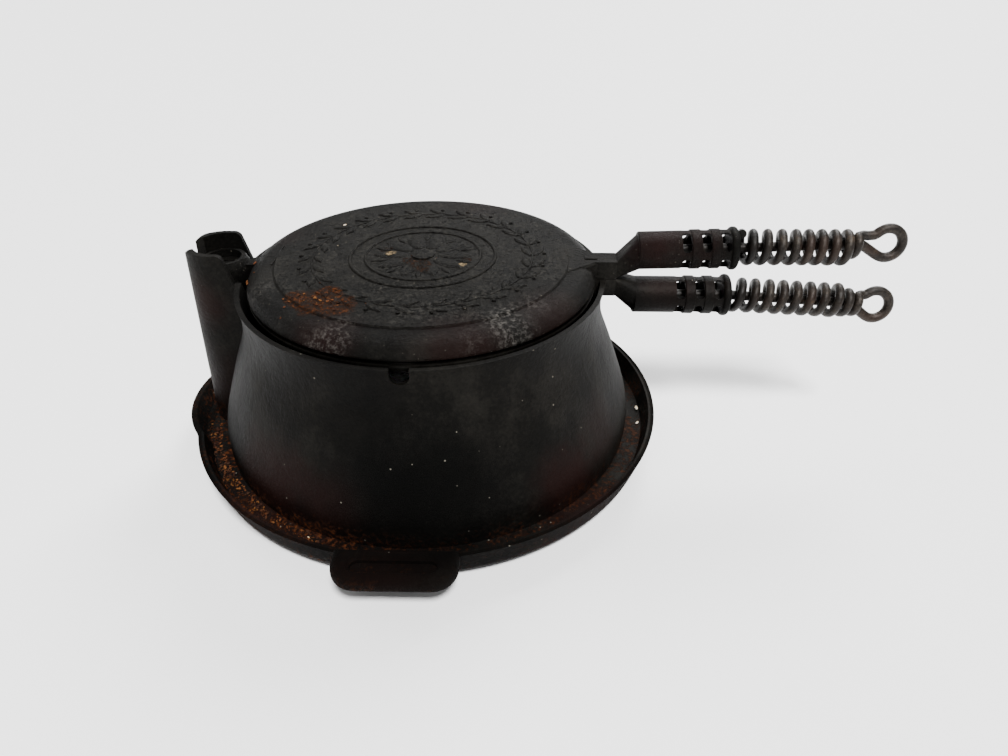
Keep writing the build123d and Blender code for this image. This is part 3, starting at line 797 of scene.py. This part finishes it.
def eye_points(sizes, own):
    """The eye, in its legs' plane: (across, along) from its bend round to the rod's side."""
    lean = own.leg_angle
    bend = sizes.bend_radius
    loop = sizes.eye_radius
    bend_x = bend * (1 - cos(lean))
    bend_z = bend * sin(lean)
    touch_x = loop * cos(lean)
    touch_z = bend_z + (touch_x - bend_x) / tan(lean)
    middle = touch_z + loop * sin(lean)
    points = [(bend * (1 - cos(a)), bend * sin(a)) for a in (0, lean * 0.5, lean)]
    points.append(((bend_x + touch_x) / 2, (bend_z + touch_z) / 2))
    for i in range(EYE_STEPS + 1):
        a = -lean + (pi + 2 * lean) * i / EYE_STEPS
        points.append((loop * cos(a), middle + loop * sin(a)))
    points.append((-own.neck, touch_z - (touch_x - own.neck) / tan(lean)))
    return [(x, z + own.grip_length) for x, z in points]


def coil_points(sizes, own, upper, pitches):
    """The coil from the eye back to the collar: (across, sideways, along)."""
    flip = 1 if upper else -1     # across is down for the upper grip and up for the lower
    turns = metres(reversed(pitches))
    missing = 0.0 if upper else 0.5     # of the turn at the collar
    start = sizes.coil_seat + sum(turns) - missing * turns[-1]
    points = []
    for step in range(int(COIL_STEPS * (len(turns) - missing)) + 1):
        whole_turns, rest = divmod(step, COIL_STEPS)
        pitch = turns[min(whole_turns, len(turns) - 1)]
        along = start - sum(turns[:whole_turns]) - pitch * rest / COIL_STEPS
        opened = min(1.0, step / COIL_STEPS / own.tight_turns) ** 2
        radius = own.neck + (sizes.coil_radius - own.neck) * opened
        aside = (own.coil_offset + along * tan(own.coil_lean)) * opened
        around = pi + 2 * pi * step / COIL_STEPS
        points.append((flip * radius * cos(around) + aside, radius * sin(around), along))
    return points


def grip_path(sizes, own, upper, pitches):
    """(point, wire radius) along one grip: Z along it, X towards the other grip."""
    flip = 1 if upper else -1     # the wire comes back from the eye on its upper side
    bent = own.rod_tilt - own.barrel_tilt
    across, aside = flip * cos(own.eye_turn), flip * sin(own.eye_turn)
    rod = [
        (z * sin(bent), 0, z * cos(bent))
        for z in (sizes.rod_start - sizes.collar_length, *metres(CAGE_KNOTS))
    ]
    rod += [(0, 0, own.grip_length * share) for share in ROD_KNOTS]
    rod += [(x * across, x * aside, z) for x, z in eye_points(sizes, own)]
    coil = coil_points(sizes, own, upper, pitches)
    path = [(Vector(point), sizes.rod_radius) for point in rod]
    return path + [(Vector(point), sizes.coil_wire_radius) for point in coil]


def wire_grip(name, body, own, upper, pitches, nodes):
    """One wire: from the barrel through the collar, round the eye and back as the coil."""
    sizes = bpy.context.scene.wi_grip
    path = grip_path(sizes, own, upper, pitches)
    deselect_all()
    bpy.ops.curve.primitive_bezier_curve_add()
    wire = bpy.context.object
    wire.location = (0, 0, 0)
    curve = wire.data
    curve.splines.clear()
    spline = curve.splines.new("BEZIER")
    spline.bezier_points.add(len(path) - 1)
    rise = 1 if upper else -1
    collar = Vector((
        sizes.barrel_x + sizes.collar_length * cos(own.barrel_tilt),
        0,
        own.barrel_z + rise * sizes.collar_length * sin(own.barrel_tilt),
    ))
    along = Vector((cos(own.rod_tilt), 0, rise * sin(own.rod_tilt)))
    across = Vector((sin(own.rod_tilt), 0, -rise * cos(own.rod_tilt)))
    sideways = Vector((0, 1, 0))
    for knot, (point, thick) in zip(spline.bezier_points, path):
        knot.co = collar + across * point.x + sideways * point.y + along * point.z
        knot.radius = thick / sizes.rod_radius
        knot.handle_left_type = knot.handle_right_type = "AUTO"
    curve.dimensions = "3D"
    curve.twist_mode = "MINIMUM"
    curve.bevel_depth = sizes.rod_radius
    curve.bevel_resolution = WIRE_ROUND
    curve.resolution_u = WIRE_FINE
    curve.use_fill_caps = True
    only(wire)
    bpy.ops.object.convert(target="MESH")
    settle(wire, name, "wire", body, WIRE_SMOOTH)
    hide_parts(*nodes)


class MakeUpperGrip(bpy.types.Operator):
    """Winds the upper wire grip"""

    bl_idname = "waffle_iron.upper_grip"
    bl_label = "Upper wire grip"

    def execute(self, context):
        own = context.scene.wi_upper
        nodes = ("upper_handle_rod", "upper_coil_grip")
        wire_grip("upper_wire_grip", "upper_pan", own, True, UPPER_PITCHES, nodes)
        return {"FINISHED"}


class MakeLowerGrip(bpy.types.Operator):
    """Winds the lower wire grip"""

    bl_idname = "waffle_iron.lower_grip"
    bl_label = "Lower wire grip"

    def execute(self, context):
        own = context.scene.wi_lower
        nodes = ("lower_handle_rod", "lower_coil_grip")
        wire_grip("lower_wire_grip", "lower_pan", own, False, LOWER_PITCHES, nodes)
        return {"FINISHED"}


# ---- lid ornament ---------------------------------------------------------------------
RING_STEPS = 120
RING_SIDES = 16
INNER_RING = 0.8            # the inner ring's width and height beside the outer one's
# The rosette, as shares of the inner ring's radius: length, width, distance out.
PETAL = (0.62, 0.30, 0.26)
SEPAL = (0.30, 0.10, 0.62)
ROSETTE_BOSS = 0.2
# The wreath. A leaf's length is a share of the space between two pairs; its width, its
# distance from the stem and the bead's are shares of its length.
LEAF_LENGTH, LEAF_WIDTH, LEAF_OUT, BEAD_OUT = 0.86, 0.34, 0.05, 0.52
LEAF_SPREAD = radians(27)
BEAD_PAST = 0.2             # share of the way to the next pair
# Of a petal or leaf: its tip starts this share of its length past its middle, its ridge
# and its sunk foot are shares of its width and height.
TIP_FROM, TIP_HEIGHT, RIDGE_WIDTH, SUNK = 0.22, 0.8, 0.06, 0.3
RELIEF_SMOOTH = 50          # degrees


def ring(radius, width, height, z, centre_x):
    """A rounded low ring, spun from its section."""
    deselect_all()
    section = (centre_x + radius, 0, z)
    bpy.ops.mesh.primitive_circle_add(
        vertices=RING_SIDES, radius=width / 2, location=section, rotation=(pi / 2, 0, 0)
    )
    piece = bpy.context.object
    bpy.ops.object.transform_apply(location=True, rotation=True, scale=True)
    bpy.ops.object.mode_set(mode="EDIT")
    bpy.ops.mesh.select_all(action="SELECT")
    bpy.ops.transform.resize(value=(1, 1, 2 * height / width), center_override=section)
    bpy.ops.mesh.spin(
        steps=RING_STEPS, angle=2 * pi, center=(centre_x, 0, 0), axis=(0, 0, 1)
    )
    bpy.ops.object.mode_set(mode="OBJECT")
    return piece


def low_relief(name, length, width, height, blunt, ridge=0.0):
    """A pointed leaf or petal along X from the origin, flat below, perhaps ridged."""
    deselect_all()
    bpy.ops.mesh.primitive_uv_sphere_add(
        segments=14, ring_count=8, radius=0.5, location=(0, 0, 0), rotation=(0, pi / 2, 0)
    )
    piece = bpy.context.object
    piece.name = name
    bpy.ops.object.transform_apply(location=True, rotation=True, scale=True)
    bpy.ops.object.mode_set(mode="EDIT")
    bpy.ops.mesh.select_all(action="SELECT")
    bpy.ops.transform.resize(value=(length, width, 2 * height), center_override=(0, 0, 0))
    select_where(piece, "vertices", lambda v: v.x > length * TIP_FROM)
    bpy.ops.transform.resize(value=(1, blunt, TIP_HEIGHT), center_override=(0, 0, 0))
    if ridge:
        select_where(piece, "vertices", lambda v: abs(v.y) < width * RIDGE_WIDTH and v.z > 0)
        bpy.ops.transform.translate(value=(0, 0, ridge))
    bpy.ops.mesh.select_all(action="SELECT")
    bpy.ops.transform.translate(value=(length / 2, 0, 0))
    bpy.ops.mesh.bisect(
        plane_co=(0, 0, -height * SUNK), plane_no=(0, 0, 1), use_fill=True, clear_inner=True
    )
    bpy.ops.object.mode_set(mode="OBJECT")
    return piece


def boss(radius, height, name):
    """A low round bead, domed on top."""
    deselect_all()
    bpy.ops.mesh.primitive_cylinder_add(
        vertices=20, radius=radius, depth=height, location=(0, 0, height * 0.2)
    )
    piece = bpy.context.object
    piece.name = name
    bpy.ops.object.transform_apply(location=True, rotation=True, scale=True)
    select_where(piece, "polygons", lambda c: c.z > height * 0.6)
    for inset, lift in ((0.35, 0.35), (0.3, 0.15)):
        bpy.ops.mesh.inset(thickness=radius * inset)
        bpy.ops.transform.translate(value=(0, 0, height * lift))
    bpy.ops.object.mode_set(mode="OBJECT")
    return piece


def turned_to(centre, radius, around, turn):
    """Place a piece drawn at the origin on a circle, turned by an angle."""
    spot = Vector((centre.x + radius * cos(around), centre.y + radius * sin(around), centre.z))
    return Matrix.Translation(spot) @ Matrix.Rotation(turn, 4, "Z")


def rosette(sizes, centre):
    """Petals round a boss, with a sepal between each two."""
    inner = sizes.ring_radius - sizes.ring_gap
    high = sizes.relief
    petal = low_relief("petal", inner * PETAL[0], inner * PETAL[1], high, 0.62, high * 0.35)
    sepal = low_relief("sepal", inner * SEPAL[0], inner * SEPAL[1], high * 0.8, 0.4)
    middle = boss(inner * ROSETTE_BOSS, high * 1.3, "boss")
    pieces = [copy_of(middle, Matrix.Translation(centre))]
    for i in range(sizes.petals):
        around = 2 * pi * i / sizes.petals
        between = around + pi / sizes.petals
        pieces.append(copy_of(petal, turned_to(centre, inner * PETAL[2], around, around)))
        pieces.append(copy_of(sepal, turned_to(centre, inner * SEPAL[2], between, between)))
    for pattern in (petal, sepal, middle):
        bpy.data.objects.remove(pattern)
    return joined(pieces)


def wreath(sizes, centre):
    """Pairs of leaves on a thin stem, with a bead between each two pairs."""
    pitch = 2 * pi / sizes.leaves
    reach, high = sizes.wreath_radius, sizes.relief
    length = reach * pitch * LEAF_LENGTH
    leaf = low_relief("leaf", length, length * LEAF_WIDTH, high, 0.45, high * 0.3)
    bead = boss(high * 1.3, high * 0.9, "bead")
    pieces = []
    for i in range(sizes.leaves):
        around = pitch * i
        for side in (-1, 1):
            turn = around + pi / 2 - side * LEAF_SPREAD
            out = reach + side * length * LEAF_OUT
            pieces.append(copy_of(leaf, turned_to(centre, out, around, turn)))
        out = reach + length * BEAD_OUT
        pieces.append(copy_of(bead, turned_to(centre, out, around + pitch * BEAD_PAST, 0)))
    for pattern in (leaf, bead):
        bpy.data.objects.remove(pattern)
    stem = ring(reach, high * 1.2, high * 0.5, centre.z, centre.x)
    return joined([*pieces, stem])


class MakeOrnament(bpy.types.Operator):
    """Casts a rosette, two rings and a leaf wreath on the lid"""

    bl_idname = "waffle_iron.ornament"
    bl_label = "Lid ornament"

    def execute(self, context):
        sizes = context.scene.wi_ornament
        x, width, high = sizes.centre_x, sizes.ring_width, sizes.relief
        inner = sizes.ring_radius - sizes.ring_gap
        top = drop("upper_pan", x, 0)[0].z
        centre = Vector((x, 0, top))
        rings = [
            ring(sizes.ring_radius, width, high, top, x),
            ring(inner, width * INNER_RING, high * INNER_RING, top, x),
        ]
        settle(joined(rings), "lid_rings", "lid", "upper_pan", RELIEF_SMOOTH)
        flowers = rosette(sizes, centre)
        settle(flowers, "lid_rosette", "lid", "upper_pan", RELIEF_SMOOTH)
        leaves = wreath(sizes, centre)
        settle(leaves, "lid_wreath", "lid", "upper_pan", RELIEF_SMOOTH)
        return {"FINISHED"}


# ---- crumbs ---------------------------------------------------------------------------
CRUMB_SHAPES = 5
# How far a crumb's corners lie from a ball's, its width and its height, as shares.
CRUMB_CORNERS, CRUMB_WIDTH, CRUMB_HEIGHT = (0.72, 1.15), (0.35, 0.8), (0.25, 0.6)
CRUMB_SINK = 0.25           # how far its middle stands off the iron, as a share of its size
CRUMB_SMOOTH = 20           # degrees
# The heap in the trough: from where and how far round, in degrees, how it leans that way,
# how far out from TROUGH_INSIDE, in mm, and how it leans outwards.
HEAP_FROM, HEAP_ARC, HEAP_LEAN = 186, 66, (1.3, 1.5)
TROUGH_INSIDE, HEAP_WIDTH, HEAP_OUT = 124.0, 9.5, (1.2, 2.2)
CLUSTERS = (194, 204, 214, 229, 246)     # degrees round the trough
CLUSTERED = 0.55            # share of the heap that lies in clusters
CLUSTER_SPREAD = 3.0        # degrees
TROUGH_SWELL = 6.5 * MM     # how much wider the trough is at the hinge tower
TROUGH_FLOOR = 12 * MM      # nothing of the trough's floor is higher
# Single crumbs farther round: how many, between which degrees, how far out, in mm.
STRAYS, STRAY_ARC, STRAY_INSIDE, STRAY_WIDTH = 60, (255, 350), 124.5, 8.0
STRAY_SIZE = (0.7, 1.7)     # shares of the smallest crumb
# Single crumbs and flakes: (x, y, size) in mm.
TROUGH_FLAKES = ((131.8, 0.5, 4.2), (130.5, -15.0, 3.0), (-52, -116.5, 2.2))
LID_CRUMBS = ((-93.5, -6, 2.6), (-92.5, -24.5, 3.0), (-91.5, -27.5, 2.2), (-90, -20, 1.6))
LID_FLAKES = ((-52, 42, 2.6), (-54.7, -33.1, 1.8), (-50.1, 11.5, 1.2))
# Heaps on the lid: how many, middle, spread and sizes in mm.
LID_RUST_HEAP = (60, (-47, -57), (8.8, 5.4), (0.6, 2.2))
LID_CRUST_HEAP = (26, (1, -12), (3.6, 4.8), (0.5, 1.5))
LID_FLAKE_HEAP = (9, (-18, 1), (1.8, 0.9), (0.5, 1.3))


def lump(dice):
    """One irregular crumb, about 1 m across, to be scaled down."""
    deselect_all()
    bpy.ops.mesh.primitive_ico_sphere_add(subdivisions=1, radius=0.5, location=(0, 0, 0))
    piece = bpy.context.object
    for vertex in piece.data.vertices:
        vertex.co *= dice.uniform(*CRUMB_CORNERS)
    bpy.ops.object.mode_set(mode="EDIT")
    bpy.ops.mesh.select_all(action="SELECT")
    flat = (1.0, dice.uniform(*CRUMB_WIDTH), dice.uniform(*CRUMB_HEIGHT))
    bpy.ops.transform.resize(value=flat, center_override=(0, 0, 0))
    bpy.ops.object.mode_set(mode="OBJECT")
    return piece


def scattered(dice, shapes, node, places):
    """Copies of the crumbs on a casting: places are (x, y, size) in metres."""
    pieces = []
    for x, y, size in places:
        point, normal = drop(node, x, y)
        shape = dice.choice(shapes)
        turn = Matrix.Rotation(dice.uniform(0, 2 * pi), 4, "Z")
        seat = Matrix.Translation(point + normal * size * CRUMB_SINK)
        pieces.append(copy_of(shape, seat @ frame_to(normal) @ turn @ Matrix.Scale(size, 4)))
    return joined(pieces)


def in_trough(x, y):
    """Whether a plumb line at x, y ends on the trough's floor."""
    return drop("base", x, y)[0].z < TROUGH_FLOOR


def heaped(dice, sizes):
    """(x, y, size) of the crumbs heaped in the trough."""
    places = []
    while len(places) < sizes.count:
        share = dice.random()
        around = radians(HEAP_FROM + HEAP_ARC * dice.betavariate(*HEAP_LEAN))
        if dice.random() < CLUSTERED:
            around = radians(dice.gauss(dice.choice(CLUSTERS), CLUSTER_SPREAD))
        reach = (TROUGH_INSIDE + HEAP_WIDTH * dice.betavariate(*HEAP_OUT)) * MM
        reach += TROUGH_SWELL * max(0.0, cos(around - pi)) ** 8
        size = sizes.smallest + (sizes.largest - sizes.smallest) * share**4
        x, y = reach * cos(around), reach * sin(around)
        if in_trough(x, y):
            places.append((x, y, size))
    return places


def strayed(dice, sizes):
    """(x, y, size) of single crumbs farther round the trough."""
    places = []
    for _ in range(STRAYS):
        around = radians(dice.uniform(*STRAY_ARC))
        reach = (STRAY_INSIDE + STRAY_WIDTH * dice.random()) * MM
        x, y = reach * cos(around), reach * sin(around)
        if in_trough(x, y):
            places.append((x, y, sizes.smallest * dice.uniform(*STRAY_SIZE)))
    return places


def lid_heap(dice, count, middle, spread, sizes):
    """(x, y, size) of crumbs round a place on the lid."""
    places = []
    for _ in range(count):
        x, y = [dice.gauss(mean, wide) for mean, wide in zip(middle, spread)]
        places.append(metres((x, y, dice.uniform(*sizes))))
    return places


class MakeCrumbs(bpy.types.Operator):
    """Scatters rust crumbs in the trough and residue on the castings"""

    bl_idname = "waffle_iron.crumbs"
    bl_label = "Crumbs and residue"

    def execute(self, context):
        sizes = context.scene.wi_crumbs
        dice = Random(sizes.seed)
        shapes = [lump(dice) for _ in range(CRUMB_SHAPES)]
        places = heaped(dice, sizes) + strayed(dice, sizes)
        crumbs = scattered(dice, shapes, "base", places)
        settle(crumbs, "trough_crumbs", "crumb", "base", CRUMB_SMOOTH)
        flakes = scattered(dice, shapes, "base", map(metres, TROUGH_FLAKES))
        settle(flakes, "trough_flakes", "residue", "base", CRUMB_SMOOTH)
        places = lid_heap(dice, *LID_RUST_HEAP) + lid_heap(dice, *LID_CRUST_HEAP)
        crumbs = scattered(dice, shapes, "upper_pan", [*places, *map(metres, LID_CRUMBS)])
        settle(crumbs, "lid_rust_crumbs", "crumb", "upper_pan", CRUMB_SMOOTH)
        places = [*map(metres, LID_FLAKES), *lid_heap(dice, *LID_FLAKE_HEAP)]
        flakes = scattered(dice, shapes, "upper_pan", places)
        settle(flakes, "lid_flakes", "residue", "upper_pan", CRUMB_SMOOTH)
        for shape in shapes:
            bpy.data.objects.remove(shape)
        return {"FINISHED"}


# ---- castings -------------------------------------------------------------------------
CASTING_FINISHES = {
    "base": "base",
    "lower_pan": "lower",
    "upper_pan": "lid",
    "lower_handle_rod": "wire",
    "upper_handle_rod": "wire",
    "lower_coil_grip": "wire",
    "upper_coil_grip": "wire",
}


class FinishCastings(bpy.types.Operator):
    """Gives the castings and the replaced rods and coils their finishes"""

    bl_idname = "waffle_iron.castings"
    bl_label = "Iron castings"

    def execute(self, context):
        for node, finish in CASTING_FINISHES.items():
            mesh = NODES[node].data
            mesh.materials.clear()
            mesh.materials.append(finish_named(finish))
        return {"FINISHED"}


# ---- stage ----------------------------------------------------------------------------
CAMERA_PLACE = (0.053748, -0.386955, 0.290818)
CAMERA_RIGHT = (0.9998, 0.0189, 0.0011)
CAMERA_UP = (-0.0114, 0.5541, 0.8324)
CAMERA_BACK = (0.0151, -0.8322, 0.5542)
CAMERA_SENSOR = 36.0
CAMERA_NEAR = 10 * MM
# Soft lamps: where each shines from, its width in degrees, its strength.
LAMPS = (
    ((0.18, -0.54, 1.0), 12.0, 8.0),
    ((0.40, 1.10, 1.00), 26.0, 3.6),
    ((-0.60, 0.70, 0.90), 40.0, 0.8),
)
SKY = 0.40


class MakeStage(bpy.types.Operator):
    """Sets up the floor, the soft lights and the camera"""

    bl_idname = "waffle_iron.stage"
    bl_label = "Stage"

    def execute(self, context):
        sizes = context.scene.wi_stage
        deselect_all()
        bpy.ops.mesh.primitive_plane_add(size=sizes.floor_size, location=(0, 0, 0))
        floor = context.object
        floor.name = "floor"
        floor.data.materials.append(finish_named("floor"))
        for place, across, strength in LAMPS:
            facing = Vector(place).to_track_quat("Z", "Y").to_euler()
            bpy.ops.object.light_add(type="SUN", location=place, rotation=facing)
            lamp = context.object.data
            lamp.angle = radians(across)
            lamp.energy = strength
        world = bpy.data.worlds.new("studio")
        world.use_nodes = True
        sky = world.node_tree.nodes["Background"].inputs
        sky["Color"].default_value = (1.0, 1.0, 1.0, 1.0)
        sky["Strength"].default_value = SKY
        context.scene.world = world
        bpy.ops.object.camera_add()
        camera = context.object
        axes = Matrix((CAMERA_RIGHT, CAMERA_UP, CAMERA_BACK)).transposed().to_4x4()
        camera.matrix_world = Matrix.Translation(CAMERA_PLACE) @ axes
        camera.data.sensor_width = CAMERA_SENSOR
        camera.data.lens = sizes.lens
        camera.data.clip_start = CAMERA_NEAR
        context.scene.camera = camera
        return {"FINISHED"}


# ---- panel and registration -----------------------------------------------------------
OPERATORS = (
    MakeStage,
    FinishCastings,
    MakeUpperGrip,
    MakeLowerGrip,
    MakeOrnament,
    MakeCrumbs,
)


class WaffleIronPanel(bpy.types.Panel):
    """Lists the steps and their sizes"""

    bl_idname = "VIEW3D_PT_waffle_iron"
    bl_label = "Waffle iron"
    bl_space_type = "VIEW_3D"
    bl_region_type = "UI"
    bl_category = "Waffle iron"

    def draw(self, context):
        for operator in OPERATORS:
            self.layout.operator(operator.bl_idname)
        for key, group in GROUPS.items():
            box = self.layout.box()
            box.label(text=group.__doc__)
            for name in group.__annotations__:
                box.prop(getattr(context.scene, key), name)


CLASSES = (*GROUPS.values(), *OPERATORS, WaffleIronPanel)


def register():
    for kind in CLASSES:
        bpy.utils.register_class(kind)
    for key, group in GROUPS.items():
        setattr(bpy.types.Scene, key, bpy.props.PointerProperty(type=group))


def unregister():
    for key in GROUPS:
        delattr(bpy.types.Scene, key)
    for kind in reversed(CLASSES):
        bpy.utils.unregister_class(kind)


def main():
    register()
    for operator in OPERATORS:
        group, name = operator.bl_idname.split(".")
        getattr(getattr(bpy.ops, group), name)()


if __name__ == "__main__":
    main()
